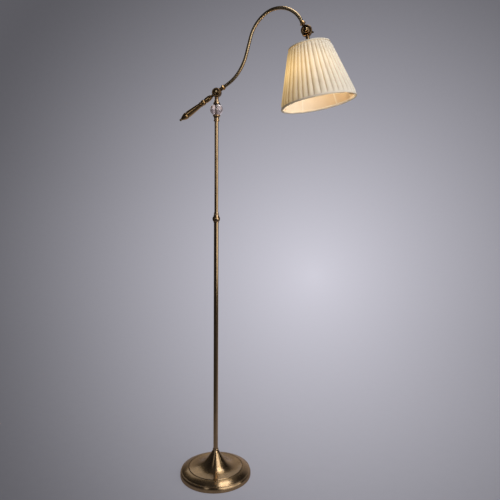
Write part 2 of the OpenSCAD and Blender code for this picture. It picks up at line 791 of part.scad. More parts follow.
// Carrier ring between the nuts, three bent arms and the top ring of the shade
module shade_carrier() {
    hub_at = carrier_at + carrier_t / 2;
    bend_r = frame_r(top_ring_at) - carrier_level;
    start_r = carrier_out - wire_r;
    arm_wire_r = wire_r - 0.1;
    lap = 0.5;
    rise = hub_at - top_ring_at;
    run = bend_r - start_r;
    color(steel) down_shade() {
        ring(carrier_at, carrier_at + carrier_t, holder_r + 0.1, carrier_out);
        translate([0, 0, top_ring_at]) rotate_extrude()
            translate([frame_r(top_ring_at), 0]) circle(r = wire_r);
        for (a = carrier_angles) rotate([0, 0, a]) {
            translate([start_r, 0, hub_at]) rotate([0, 90 + atan(rise / run), 0])
                cylinder(h = norm([rise, run]) + lap, r = arm_wire_r);
            translate([bend_r - lap, 0, top_ring_at]) rotate([0, 90, 0])
                cylinder(h = carrier_level + lap, r = arm_wire_r);
        }
    }
}

module bottom_ring() {
    color(steel) down_shade() translate([0, 0, bottom_ring_at]) rotate_extrude()
        translate([frame_r(bottom_ring_at), 0]) circle(r = wire_r);
}

module shade_struts() {
    s0 = top_ring_at + wire_r + fold_gap;
    s1 = bottom_ring_at - wire_r - fold_gap;
    lean = atan(slope);
    color(steel) down_shade() for (a = [0:60:300]) rotate([0, 0, a])
        translate([frame_r(s0), 0, s0]) rotate([0, lean, 0])
            cylinder(h = (s1 - s0) / cos(lean), r = strut_r);
}

// Pleated cloth between the two bindings: a broad fold, then a narrow valley
fold_at = [0, 0.33, 0.5, 0.67];
fold_down = [0, 0.12, 1, 0.12];
module shade_cover() {
    per_fold = len(fold_at);
    n = pleats * per_fold;
    s0 = shade_drop + binding_top - cloth_reach;
    s1 = shade_end - binding_bottom + cloth_reach;
    // Rows of the cloth: place along the shade, depth of the pleats, 0 outside or 1 inside
    rows = [
        [s0, pleat_edge, 0], [s0 + pleat_run, full_depth(s0 + pleat_run), 0],
        [s1 - pleat_run, full_depth(s1 - pleat_run), 0], [s1, pleat_edge, 0],
        [s1, pleat_edge, 1], [s1 - pleat_run, full_depth(s1 - pleat_run), 1],
        [s0 + pleat_run, full_depth(s0 + pleat_run), 1], [s0, pleat_edge, 1]
    ];
    count = len(rows);
    points = [for (row = rows) for (k = [0:n - 1])
        let (j = k % per_fold,
             r = valley_in(row[0]) + row[1] * (1 - fold_down[j]) + (1 - row[2]) * cloth_t,
             a = 360 * (floor(k / per_fold) + fold_at[j]) / pleats)
        [r * cos(a), r * sin(a), row[0]]];
    faces = [for (w = [0:count - 1]) for (k = [0:n - 1])
        let (next = (k + 1) % n, up = (w + 1) % count * n)
        for (f = [[w * n + k, w * n + next, up + k], [w * n + next, up + next, up + k]]) f];
    color(cream) down_shade() polyhedron(points = points, faces = faces);
}

module shade_lining() {
    s0 = shade_drop + lining_in;
    s1 = shade_end - lining_in;
    color(lining_white) down_shade() turned([
        [lining_out(s0) - lining_t, s0], [lining_out(s0), s0],
        [lining_out(s1), s1], [lining_out(s1) - lining_t, s1]
    ]);
}

// A binding folded over the edge, round the ring wire: outside band, edge and inside band
module binding(s_edge, s_end) {
    web = s_edge + sign(s_end - s_edge) * edge_wall;
    turned([
        [rim_out(s_edge) + edge_wall, s_edge], [rim_out(s_end) + edge_wall, s_end],
        [rim_out(s_end), s_end], [rim_out(web), web], [rim_in(web), web],
        [rim_in(s_end), s_end], [rim_in(s_end) - edge_wall, s_end],
        [rim_in(s_edge) - edge_wall, s_edge]
    ]);
}
module top_binding() {
    color(cream) down_shade() difference() {
        binding(shade_drop, shade_drop + binding_top);
        for (a = carrier_angles) rotate([0, 0, a])
            translate([frame_r(top_ring_at) - carrier_level, 0, top_ring_at])
                rotate([0, 90, 0]) cylinder(h = carrier_level - wire_r, r = wire_r + fold_gap);
    }
}
module bottom_binding()
    color(cream) down_shade() binding(shade_end, shade_end - binding_bottom);

// Bulb
module bulb_cap() {
    color(steel) down_shade() turned([
        [0, bulb_cap_top - 2], [4, bulb_cap_top - 2], [5, bulb_cap_top],
        [13.2, bulb_cap_top + 2], [13.2, bulb_neck], [0, bulb_neck]
    ]);
}

module bulb_glass() {
    crown = bulb_neck + bulb_len - bulb_r;
    outer = concat(
        [[12.6, bulb_neck], [13.4, bulb_neck + 9], [18, bulb_neck + 20]],
        arc(0, crown, bulb_r, -42, 90, 14)
    );
    inner = [for (p = outer) [max(p[0] - 0.9, 0), p[1] == bulb_neck ? p[1] : p[1] - 0.9]];
    color(opal) down_shade() turned(concat(
        outer,
        [[0, bulb_neck + bulb_len - 0.9]],
        reversed([for (i = [1:len(inner) - 2]) inner[i]]),
        [[11.7, bulb_neck + 0.9], [11.7, bulb_neck]]
    ));
}

base_felt();
base_weight();
base_shell();
base_washer();
base_nut();
cord_inlet();
base_stud();
foot_collar();
lower_plug();
lower_tube();
guide_bush();
clamp_ball();
slide_bush();
upper_tube();
upper_plug();
lower_cup();
glass_ball();
ball_stud();
upper_cup();
column_knuckle();
column_pin();
column_pin_ball();
column_washer();
column_lever();
hub_knuckle();
handle_barrel();
handle_vase();
handle_grip();
handle_finial();
handle_tip();
handle_rod();
arm_ferrule();
arm_tube();
arm_bell();
arm_knuckle();
shade_pin();
shade_pin_ball();
shade_washer();
shade_lever();
shade_knuckle();
holder_stem();
holder_cap();
holder_body();
holder_contact();
ring_nuts();
shade_carrier();
bottom_ring();
shade_struts();
shade_cover();
shade_lining();
top_binding();
bottom_binding();
bulb_cap();
bulb_glass();
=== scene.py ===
"""Reading floor lamp with a twisted brass arm and a pleated cloth shade, lit."""

import math
import random

import bmesh
import bpy
from mathutils import Matrix, Vector


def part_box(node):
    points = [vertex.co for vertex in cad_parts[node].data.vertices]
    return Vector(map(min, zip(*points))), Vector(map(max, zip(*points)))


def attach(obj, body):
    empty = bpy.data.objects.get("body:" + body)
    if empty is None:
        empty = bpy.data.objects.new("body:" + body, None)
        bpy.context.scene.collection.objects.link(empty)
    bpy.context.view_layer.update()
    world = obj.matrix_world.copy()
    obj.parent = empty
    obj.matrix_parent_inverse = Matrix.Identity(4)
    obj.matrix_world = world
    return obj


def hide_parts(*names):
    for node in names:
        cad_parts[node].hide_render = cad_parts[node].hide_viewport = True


bl_info = {
    "name": "Reading floor lamp",
    "version": (1, 0, 0),
    "blender": (4, 5, 0),
    "location": "3D View > Sidebar > Floor lamp",
    "description": "Finishes, cloth and studio of a brass reading floor lamp",
    "category": "Object",
}

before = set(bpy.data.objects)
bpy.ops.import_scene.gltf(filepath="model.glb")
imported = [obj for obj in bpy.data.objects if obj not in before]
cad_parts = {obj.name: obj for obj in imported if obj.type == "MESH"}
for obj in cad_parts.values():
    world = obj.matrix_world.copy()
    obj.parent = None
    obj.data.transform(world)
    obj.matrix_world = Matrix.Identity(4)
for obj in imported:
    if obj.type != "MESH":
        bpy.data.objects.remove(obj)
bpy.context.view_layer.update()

MM = 0.001


def linear(text):
    """Turns an sRGB hex colour into the linear values that Blender works with."""
    levels = [int(text[at:at + 2], 16) / 255 for at in (1, 3, 5)]
    return [level / 12.92 if level <= 0.04045 else ((level + 0.055) / 1.055) ** 2.4 for level in levels]


def node(tree, kind, inputs, **settings):
    """Adds one shader node with its settings, and sets or links its inputs by name or number."""
    added = tree.nodes.new(kind)
    for name, value in settings.items():
        setattr(added, name, value)
    for name, value in inputs.items():
        if isinstance(value, bpy.types.NodeSocket):
            tree.links.new(value, added.inputs[name])
        else:
            added.inputs[name].default_value = value
    return added


def smooth_step(value):
    """0 below 0 and 1 above 1, with an easy curve between."""
    value = min(max(value, 0.0), 1.0)
    return value * value * (3 - 2 * value)


def skin(name, rings, closed, material, values=None, sharp=50):
    """A mesh piece through rings of points. A closed one joins its last ring to its first."""
    count = len(rings[0])
    faces = []
    for row in range(len(rings) if closed else len(rings) - 1):
        here = row * count
        there = (row + 1) % len(rings) * count
        for k in range(count):
            after = (k + 1) % count
            faces.append((here + k, here + after, there + after, there + k))
    if not closed:
        faces.append(tuple(range(count)))
        faces.append(tuple(len(rings) * count - 1 - k for k in range(count)))
    mesh = bpy.data.meshes.new(name)
    mesh.from_pydata([point for ring in rings for point in ring], [], faces)
    shape = bmesh.new()
    shape.from_mesh(mesh)
    bmesh.ops.recalc_face_normals(shape, faces=shape.faces)
    shape.to_mesh(mesh)
    shape.free()
    for label, numbers in (values or {}).items():
        mesh.attributes.new(label, "FLOAT", "POINT").data.foreach_set("value", numbers)
    mesh.shade_smooth()
    mesh.set_sharp_from_angle(angle=math.radians(sharp))
    mesh.materials.append(material)
    piece = bpy.data.objects.new(name, mesh)
    bpy.context.scene.collection.objects.link(piece)
    return piece


def new_material(name, **constants):
    """A material and its Principled shader, with the values that are the same all over it."""
    material = bpy.data.materials.new(name)
    material.use_nodes = True
    shader = material.node_tree.nodes["Principled BSDF"]
    for label, value in constants.items():
        shader.inputs[label.replace("_", " ")].default_value = value
    return material, material.node_tree, shader


def colour(values):
    """A shader colour from a setting's three values."""
    return (*values, 1.0)


def paint(material, *names):
    """Gives the material to CAD nodes."""
    for name in names:
        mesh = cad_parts[name].data
        mesh.materials.clear()
        mesh.materials.append(material)


class LampMetalSettings(bpy.types.PropertyGroup):
    brass: bpy.props.FloatVectorProperty(
        name="Brass", description="Worn brass on the high places", subtype="COLOR", size=3,
        default=linear("#b89971"), min=0, max=1)
    # Also the colour of the painted shade where separate parts meet
    patina: bpy.props.FloatVectorProperty(
        name="Patina", description="Brown patina left in the recesses", subtype="COLOR", size=3,
        default=linear("#35261a"), min=0, max=1)
    dark_brass: bpy.props.FloatVectorProperty(
        name="Dark brass", description="Twisted arm, pins, levers and bushes", subtype="COLOR", size=3,
        default=linear("#a08a68"), min=0, max=1)
    gold: bpy.props.FloatVectorProperty(
        name="Polished brass", description="Handle, both ends of the arm, and the lampholder's cap",
        subtype="COLOR", size=3, default=linear("#b8935f"), min=0, max=1)
    # A darker copy of the brass: painted shade that keeps the hinge halves dark under the top light
    hinge: bpy.props.FloatVectorProperty(
        name="Hinge brass", description="Halves of the two hinges", subtype="COLOR", size=3,
        default=linear("#6e5434"), min=0, max=1)
    edge: bpy.props.FloatVectorProperty(
        name="Edge tint", description="What the brass keeps of the light at a glancing angle",
        subtype="COLOR", size=3, default=linear("#c9b498"), min=0, max=1)
    lacquer: bpy.props.FloatProperty(
        name="Lacquer", description="Clear coat over the brass", default=0.5, min=0, max=1)
    strands: bpy.props.IntProperty(
        name="Strands", description="Ribs twisted round the arm", default=8, min=3, max=12)
    strand_depth: bpy.props.FloatProperty(
        name="Strand depth", description="How deep the grooves between the ribs are", default=0.35 * MM,
        min=0, max=2 * MM, subtype="DISTANCE", unit="LENGTH", precision=5)
    lead: bpy.props.FloatProperty(
        name="Lead", description="Length of arm in which a rib goes round once", default=60 * MM,
        min=20 * MM, max=200 * MM, subtype="DISTANCE", unit="LENGTH", precision=4)


class LampGlassSettings(bpy.types.PropertyGroup):
    flutes: bpy.props.IntProperty(
        name="Flutes", description="Upright grooves round the glass ball", default=8, min=4, max=24)
    flute_depth: bpy.props.FloatProperty(
        name="Flute depth", description="How deep the grooves are at the middle", default=1.3 * MM,
        min=0, max=3 * MM, subtype="DISTANCE", unit="LENGTH", precision=5)
    glass_wall: bpy.props.FloatProperty(
        name="Glass wall", description="Thickness of the ball's wall", default=2.6 * MM,
        min=1 * MM, max=6 * MM, subtype="DISTANCE", unit="LENGTH", precision=5)
    bulb: bpy.props.FloatVectorProperty(
        name="Bulb light", description="Warm light of the opal bulb", subtype="COLOR", size=3,
        default=linear("#fff2e0"), min=0, max=1)
    bulb_strength: bpy.props.FloatProperty(
        name="Bulb strength", description="How bright the opal glass is", default=14.5, min=0, max=20)


class LampShadeSettings(bpy.types.PropertyGroup):
    pleats: bpy.props.IntProperty(
        name="Pleats", description="Folds round the shade", default=39, min=16, max=48)
    top_depth: bpy.props.FloatProperty(
        name="Top pleat depth", description="Depth of a fold near the top", default=3.3 * MM,
        min=0, max=5 * MM, subtype="DISTANCE", unit="LENGTH", precision=5)
    bottom_depth: bpy.props.FloatProperty(
        name="Bottom pleat depth", description="Depth of a fold near the bottom", default=4.5 * MM,
        min=0, max=5 * MM, subtype="DISTANCE", unit="LENGTH", precision=5)
    cloth: bpy.props.FloatVectorProperty(
        name="Cloth", description="Cream cotton of the pleats", subtype="COLOR", size=3,
        default=linear("#f6efe2"), min=0, max=1)
    # Painted shade: the cloth's colour deep between two pleats, a little darker than the cloth
    fold: bpy.props.FloatVectorProperty(
        name="Fold", description="Cloth deep between two pleats", subtype="COLOR", size=3,
        default=linear("#efe5d3"), min=0, max=1)
    # Painted light: the bulb's light through the cloth is drawn as the cloth's own glow
    glow: bpy.props.FloatVectorProperty(
        name="Glow", description="Bulb light through one layer of cloth", subtype="COLOR", size=3,
        default=linear("#ffd182"), min=0, max=1)
    fold_glow: bpy.props.FloatVectorProperty(
        name="Fold glow", description="Bulb light through the doubled cloth of a fold", subtype="COLOR",
        size=3, default=linear("#a0762e"), min=0, max=1)
    glow_strength: bpy.props.FloatProperty(
        name="Glow strength", description="How much bulb light comes through", default=0.97, min=0, max=4)


class LampStudioSettings(bpy.types.PropertyGroup):
    paper: bpy.props.FloatVectorProperty(
        name="Backdrop", description="Matt grey studio paper", subtype="COLOR", size=3,
        default=linear("#f4f2ff"), min=0, max=1)
    wall_low: bpy.props.FloatProperty(
        name="Backdrop low", description="Brightness of the paper outside the pool of light", default=0.085,
        min=0, max=1)
    wall_high: bpy.props.FloatProperty(
        name="Backdrop high", description="Brightness of the paper in the pool of light", default=0.67,
        min=0, max=1)
    ambient: bpy.props.FloatProperty(
        name="Ambient", description="Soft light from all round", default=0.08, min=0, max=2)
    key: bpy.props.FloatProperty(
        name="Key light", description="Brightness of the high softbox right of the camera", default=2.5,
        min=0, max=20)
    top: bpy.props.FloatProperty(
        name="Top light", description="Brightness of the softbox overhead", default=4.5, min=0, max=20)
    fill: bpy.props.FloatProperty(
        name="Fill light", description="Brightness of the low softbox right of the camera", default=1.5,
        min=0, max=20)
    left: bpy.props.FloatProperty(
        name="Left light", description="Brightness of the small softbox left of the camera", default=1.1,
        min=0, max=20)
    back: bpy.props.FloatProperty(
        name="Back light", description="Brightness of the high softbox behind", default=0.6,
        min=0, max=20)


def brass(name, worn, settings, rough, spread=0.0):
    """Lacquered brass: worn high places, patina in the recesses and painted shade where parts meet, soft
    gloss over both.
    """
    material, tree, shader = new_material(
        name, Metallic=1.0, Specular_Tint=colour(settings.edge), Coat_Weight=settings.lacquer,
        Coat_Roughness=0.08, Anisotropic=spread)
    place = node(tree, "ShaderNodeTexCoord", {}).outputs["Object"]
    # Patches of cloudy patina, in mm
    patch = 18
    # Polishing marks, in mm. Real ones of about 0.1 mm would not show
    mark = 1.5
    cloud = node(tree, "ShaderNodeTexNoise", {"Vector": place, "Scale": 1000 / patch, "Detail": 4.0})
    clear = node(tree, "ShaderNodeMapRange", {
        "Value": cloud.outputs[0], "From Min": 0.3, "From Max": 0.7, "To Min": 0.8, "To Max": 1.0})
    # Patina in the hollows and painted shade where separate parts meet: the occlusion mask pulls the brass
    # towards the patina colour
    patina_and_painted_shade_ao = node(tree, "ShaderNodeAmbientOcclusion", {"Distance": 5 * MM}, samples=6)
    open_not_patina_or_painted_shade = node(tree, "ShaderNodeMapRange", {
        "Value": patina_and_painted_shade_ao.outputs["AO"], "From Min": 0.25, "From Max": 0.85, "To Min": 0.15, "To Max": 1.0})
    worn_not_patina_or_painted_shade = node(tree, "ShaderNodeMath", {
        0: clear.outputs[0], 1: open_not_patina_or_painted_shade.outputs[0]}, operation="MULTIPLY")
    mixed = node(tree, "ShaderNodeMix", {
        0: worn_not_patina_or_painted_shade.outputs[0], 6: colour(settings.patina), 7: colour(worn)}, data_type="RGBA")
    tree.links.new(mixed.outputs[2], shader.inputs["Base Color"])
    dull = node(tree, "ShaderNodeMapRange", {
        "Value": worn_not_patina_or_painted_shade.outputs[0], "To Min": rough + 0.14, "To Max": rough})
    tree.links.new(dull.outputs[0], shader.inputs["Roughness"])
    marks = node(tree, "ShaderNodeTexNoise", {"Vector": place, "Scale": 1000 / mark, "Detail": 2.0})
    bump = node(tree, "ShaderNodeBump", {
        "Height": marks.outputs[0], "Strength": 0.06, "Distance": 0.1 * MM})
    tree.links.new(bump.outputs[0], shader.inputs["Normal"])
    if spread:
        # The marks run round the upright axis, and a quarter turn draws the light out across them
        turn = node(tree, "ShaderNodeTangent", {}, direction_type="RADIAL", axis="Z")
        tree.links.new(turn.outputs[0], shader.inputs["Tangent"])
        shader.inputs["Anisotropic Rotation"].default_value = 0.25
    return material


def grained(name, light, dark, grain, rough, depth, **constants):
    """A plain material with a fine grain in its colour, roughness and surface. Sizes are in mm."""
    material, tree, shader = new_material(name, **constants)
    place = node(tree, "ShaderNodeTexCoord", {}).outputs["Object"]
    speck = node(tree, "ShaderNodeTexNoise", {"Vector": place, "Scale": 1000 / grain, "Detail": 3.0})
    mixed = node(tree, "ShaderNodeMix", {
        0: speck.outputs[0], 6: colour(linear(dark)), 7: colour(linear(light))}, data_type="RGBA")
    tree.links.new(mixed.outputs[2], shader.inputs["Base Color"])
    dull = node(tree, "ShaderNodeMapRange", {
        "Value": speck.outputs[0], "To Min": rough - 0.06, "To Max": rough + 0.06})
    tree.links.new(dull.outputs[0], shader.inputs["Roughness"])
    bump = node(tree, "ShaderNodeBump", {
        "Height": speck.outputs[0], "Strength": 0.4, "Distance": depth * MM})
    tree.links.new(bump.outputs[0], shader.inputs["Normal"])
    return material


class LAMP_OT_metal(bpy.types.Operator):
    """Finishes the turned, cast and hidden parts that keep their solid shape"""
    bl_idname = "lamp.metal"
    bl_label = "Metal and plastic parts"

    def execute(self, context):
        settings = context.scene.lamp_metal
        # Antique brass turned on a lathe and lacquered: a hard gloss over a brown body
        turned = brass("antique_brass_turned", settings.brass, settings, 0.17)
        paint(turned, "foot_collar", "lower_tube", "clamp_ball", "upper_tube", "lower_cup", "upper_cup")
        # The same brass on parts that lie along the arm, polished all round
        polished = brass("antique_brass_polished", settings.gold, settings, 0.2)
        paint(polished, "handle_barrel", "handle_vase", "handle_grip", "handle_finial", "arm_ferrule",
              "arm_bell", "holder_stem", "holder_cap")
        # The hinge halves get a darker copy of the brass, a painted shade: only thin lines of light on a
        # brown disc
        hinge = brass("antique_brass_hinge_painted_dark", settings.hinge, settings, 0.16)
        paint(hinge, "column_knuckle", "hub_knuckle", "arm_knuckle", "shade_knuckle")
        # Browned brass, darker and a little duller
        browned = brass("browned_brass", settings.dark_brass, settings, 0.22)
        paint(browned, "guide_bush", "slide_bush", "column_pin", "column_pin_ball", "column_lever",
              "handle_tip", "shade_pin", "shade_pin_ball", "shade_lever")
        # Bright zinc-plated steel
        steel = grained("zinc_plated_steel", "#b8b9b6", "#8d8f90", 3, 0.32, 0.02, Metallic=1.0)
        paint(steel, "base_washer", "base_nut", "base_stud", "lower_plug", "upper_plug",
              "column_washer", "handle_rod", "shade_washer", "holder_contact", "bulb_cap")
        # Bright nickel on the threaded tube that shows through the glass ball
        nickel = grained("satin_nickel", "#cfc8c2", "#b4ada8", 2, 0.45, 0.03, Metallic=1.0)
        paint(nickel, "ball_stud")
        # Sand-cast iron, rough and dull
        iron = grained("cast_iron", "#4a4845", "#2b2a29", 1.6, 0.75, 0.3, Metallic=0.6)
        paint(iron, "base_weight")
        # Pressed wool felt, which takes all gloss away
        felt = grained("wool_felt", "#3a3632", "#211f1d", 0.9, 0.94, 0.4, Sheen_Weight=0.4)
        paint(felt, "base_felt")
        # Moulded black phenolic resin, fine orange peel
        resin = grained("moulded_resin", "#211f1d", "#151413", 0.8, 0.42, 0.03)
        paint(resin, "cord_inlet", "holder_body", "ring_nuts")
        # White powder coat on steel wire
        coat = grained("white_powder_coat", "#eeebe4", "#dcd8cf", 0.7, 0.45, 0.04)
        paint(coat, "shade_carrier", "bottom_ring", "shade_struts")
        return {"FINISHED"}


class LAMP_OT_base(bpy.types.Operator):
    """Finishes the spun base shell"""
    bl_idname = "lamp.base"
    bl_label = "Spun base"

    def execute(self, context):
        settings = context.scene.lamp_metal
        # Brass sheet spun on a chuck: fine rings round it draw each light out into a wedge
        spun = brass("antique_brass_spun", settings.brass, settings, 0.25, spread=0.9)
        paint(spun, "base_shell")
        return {"FINISHED"}


# The arm's middle line, in mm and degrees, in the plane y = 0: it leaves the column hinge upward at
# ARM_LEAN, and each stretch is (length, 0) or (radius, turn)
HINGE = (0.0, 1328.0)
ARM_LEAN = 35.0
ARM_STRETCHES = ((48, 0), (133, 20), (180, 20.5), (55, 0), (130, -38.5), (77, -98.5), (39, 0))
ARM_RADIUS = 5.5
# How far in from the two ends of that line the tube begins and ends
TUBE_START = 28.2
TUBE_END = 28.5


def arm_line(step):
    """Points along the arm as (distance, x, z, direction in radians), every step mm."""
    x, z = HINGE
    lean = math.radians(ARM_LEAN)
    done = 0.0
    line = [(0.0, x, z, lean)]
    for size, turn in ARM_STRETCHES:
        length = size * math.radians(abs(turn)) if turn else size
        count = max(1, round(length / step))
        for _ in range(count):
            half = math.radians(turn) / count / 2
            chord = length / count if not turn else 2 * size * math.sin(abs(half))
            lean += half
            x += chord * math.cos(lean)
            z += chord * math.sin(lean)
            lean += half
            done += length / count
            line.append((done, x, z, lean))
    return line


class LAMP_OT_arm(bpy.types.Operator):
    """Makes the arm tube with its twisted ribs"""
    bl_idname = "lamp.arm"
    bl_label = "Twisted arm"

    def execute(self, context):
        settings = context.scene.lamp_metal
        step = 1.5
        line = arm_line(step)
        end = line[-1][0] - TUBE_END
        points_per_rib = 10
        count = settings.strands * points_per_rib
        rings = []
        for done, x, z, lean in line:
            if not TUBE_START <= done <= end:
                continue
            twist = math.tau * done * MM / settings.lead
            ring = []
            for k in range(count):
                round_at = math.tau * k / count
                rib = abs(math.cos(settings.strands * (round_at + twist) / 2))
                radius = ARM_RADIUS * MM - settings.strand_depth * (1 - rib)
                side = radius * math.cos(round_at)
                ring.append((x * MM - side * math.sin(lean), radius * math.sin(round_at),
                             z * MM + side * math.cos(lean)))
            rings.append(ring)
        # Brass tube drawn through a twisting die, browned: dark grooves, light along the ribs
        drawn = brass("browned_brass_twisted", settings.dark_brass, settings, 0.2)
        tube = skin("twisted_arm", rings, False, drawn, sharp=60)
        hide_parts("arm_tube")
        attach(tube, "arm")
        return {"FINISHED"}


class LAMP_OT_glass(bpy.types.Operator):
    """Makes the fluted glass ball and finishes the bulb"""
    bl_idname = "lamp.glass"
    bl_label = "Glass ball and bulb"

    def execute(self, context):
        settings = context.scene.lamp_glass
        low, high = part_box("glass_ball")
        middle = (low + high) / 2
        # The ball is an ellipsoid cut flat above and below, at this share of its half height
        pole = 0.96
        points_per_flute = 12
        count = settings.flutes * points_per_flute
        steps = 30
        rings = []
        # Up the outside, then down the inside
        for way, shrink, depth in ((1, 0.0, settings.flute_depth), (-1, settings.glass_wall, 0.0)):
            for k in range(steps + 1):
                up = way * math.asin(pole) * (2 * k / steps - 1)
                radius = (high.x - shrink) * math.cos(up)
                z = middle.z + (high.z - middle.z - shrink) * math.sin(up) / pole
                ring = []
                for n in range(count):
                    round_at = math.tau * n / count
                    lobe = abs(math.cos(settings.flutes * round_at / 2)) ** 0.8
                    r = radius - depth * math.cos(up) ** 1.2 * (1 - lobe)
                    ring.append((r * math.cos(round_at), r * math.sin(round_at), z))
                rings.append(ring)
        # Clear soda-lime glass, pressed and fire polished: faint waves in a hard gloss
        clear, tree, shader = new_material(
            "pressed_clear_glass", Transmission_Weight=1.0, IOR=1.5, Base_Color=colour(linear("#efe5e3")))
        place = node(tree, "ShaderNodeTexCoord", {}).outputs["Object"]
        wave = node(tree, "ShaderNodeTexNoise", {"Vector": place, "Scale": 1000 / 7, "Detail": 1.0})
        bump = node(tree, "ShaderNodeBump", {
            "Height": wave.outputs[0], "Strength": 0.1, "Distance": 0.3 * MM})
        tree.links.new(bump.outputs[0], shader.inputs["Normal"])
        dull = node(tree, "ShaderNodeMapRange", {
            "Value": wave.outputs[0], "To Min": 0.06, "To Max": 0.14})
        tree.links.new(dull.outputs[0], shader.inputs["Roughness"])
        ball = skin("fluted_glass_ball", rings, True, clear, sharp=60)
        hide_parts("glass_ball")
        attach(ball, "upper_column")
        # Opal glass bulb, lit: milk-white skin that gives warm light, less at its rim and upper side
        opal, tree, shader = new_material("opal_glass_lit", Roughness=0.2)
        rim = node(tree, "ShaderNodeLayerWeight", {"Blend": 0.35})
        shade = node(tree, "ShaderNodeMix", {
            0: rim.outputs["Facing"], 6: colour(settings.bulb), 7: colour([0.8 * v for v in settings.bulb])},
            data_type="RGBA")
        tree.links.new(shade.outputs[2], shader.inputs["Emission Color"])
        tree.links.new(shade.outputs[2], shader.inputs["Base Color"])
        up = node(tree, "ShaderNodeSeparateXYZ", {
            0: node(tree, "ShaderNodeNewGeometry", {}).outputs["Normal"]})
        level = node(tree, "ShaderNodeMapRange", {
            "Value": up.outputs["Z"], "From Min": -0.2, "From Max": 0.5,
            "To Min": settings.bulb_strength, "To Max": 0.4 * settings.bulb_strength})
        tree.links.new(level.outputs[0], shader.inputs["Emission Strength"])
        paint(opal, "bulb_glass")
        return {"FINISHED"}


# The shade, in mm: s runs down its axis from the shade pin, which is at SHADE_PIN in metres
SHADE_PIN = (0.292812, 0.0, 1.51186)
SHADE_LEAN = 11.0
SHADE_TOP = 46.5
SHADE_END = 231.5
WIRE_TOP_RADIUS = 63.2
SHADE_SLOPE = 0.3027
COVER_TOP = 50.8
COVER_END = 225.7
LINING_TOP = 50.1
LINING_END = 227.9
BULB_AT = 128.0


def wire_radius(s):
    """Radius of the shade's wire frame at s."""
    return WIRE_TOP_RADIUS + SHADE_SLOPE * (s - SHADE_TOP)


def shade_place():
    """Puts a point of the shade, whose axis is its Z, into the row frame."""
    return (Matrix.Translation(SHADE_PIN) @ Matrix.Rotation(math.radians(-SHADE_LEAN), 4, "Y")
            @ Matrix.Rotation(math.pi, 4, "X"))


def shade_point(place, radius, round_at, s):
    """A point of the shade in the row frame, from mm and radians."""
    return place @ Vector((radius * MM * math.cos(round_at), radius * MM * math.sin(round_at), s * MM))


def painted_bulb_glow(s, round_at):
    """Share of the bulb's light that comes through the cloth at s, painted as glow. The bulb hangs on the
    shade's axis, and the painted glow is stronger on the column's side.
    """
    radius = wire_radius(s)
    nearest = wire_radius(BULB_AT)
    direct = radius / math.hypot(radius, s - BULB_AT) ** 3 * nearest ** 2
    # Painted shadow of the lampholder, which stands in the way above the bulb
    clear = 1 - 0.35 * max(0.0, (BULB_AT - s) / (BULB_AT - SHADE_TOP))
    return (0.16 + 0.84 * direct) * clear * (0.64 - 0.38 * math.cos(round_at))


def cotton(name, settings, thread, glow):
    """Plain-woven cotton: fine threads, painted shade deep in the pleats, and the bulb's light through the
    cloth painted as glow, weaker where the cloth is doubled.
    """
    material, tree, shader = new_material(
        name, Roughness=0.85, Sheen_Weight=0.15, Sheen_Roughness=0.5, Emission_Strength=glow)
    place = node(tree, "ShaderNodeTexCoord", {}).outputs["Object"]
    fold = node(tree, "ShaderNodeAttribute", {}, attribute_name="fold").outputs["Fac"]
    light = node(tree, "ShaderNodeAttribute", {}, attribute_name="light").outputs["Fac"]
    slub = node(tree, "ShaderNodeTexNoise", {"Vector": place, "Scale": 1000 / 22, "Detail": 3.0})
    uneven = node(tree, "ShaderNodeMapRange", {
        "Value": slub.outputs[0], "From Min": 0.3, "From Max": 0.7, "To Min": 0.9, "To Max": 1.0})
    # Painted shade: the fold mask darkens the cloth deep in each pleat valley
    cloth = node(tree, "ShaderNodeMix", {
        0: fold, 6: colour(settings.fold), 7: colour(settings.cloth)}, data_type="RGBA")
    toned = node(tree, "ShaderNodeVectorMath", {0: cloth.outputs[2], 3: 1.0}, operation="SCALE")
    tree.links.new(uneven.outputs[0], toned.inputs[3])
    tree.links.new(toned.outputs[0], shader.inputs["Base Color"])
    # Painted light: the bulb's light through the cloth is emission, dimmer where the cloth is doubled in a
    # fold
    through = node(tree, "ShaderNodeMix", {
        0: fold, 6: colour(settings.fold_glow), 7: colour(settings.glow)}, data_type="RGBA")
    level = node(tree, "ShaderNodeMath", {0: light, 1: uneven.outputs[0]}, operation="MULTIPLY")
    lit = node(tree, "ShaderNodeVectorMath", {0: through.outputs[2], 3: level.outputs[0]}, operation="SCALE")
    tree.links.new(lit.outputs[0], shader.inputs["Emission Color"])
    # Threads of about 0.3 mm would not show, so they are drawn at thread mm
    weave = node(tree, "ShaderNodeTexNoise", {"Vector": place, "Scale": 1000 / thread, "Detail": 2.0})
    bump = node(tree, "ShaderNodeBump", {
        "Height": weave.outputs[0], "Strength": 0.25, "Distance": 0.15 * MM})
    tree.links.new(bump.outputs[0], shader.inputs["Normal"])
    return material


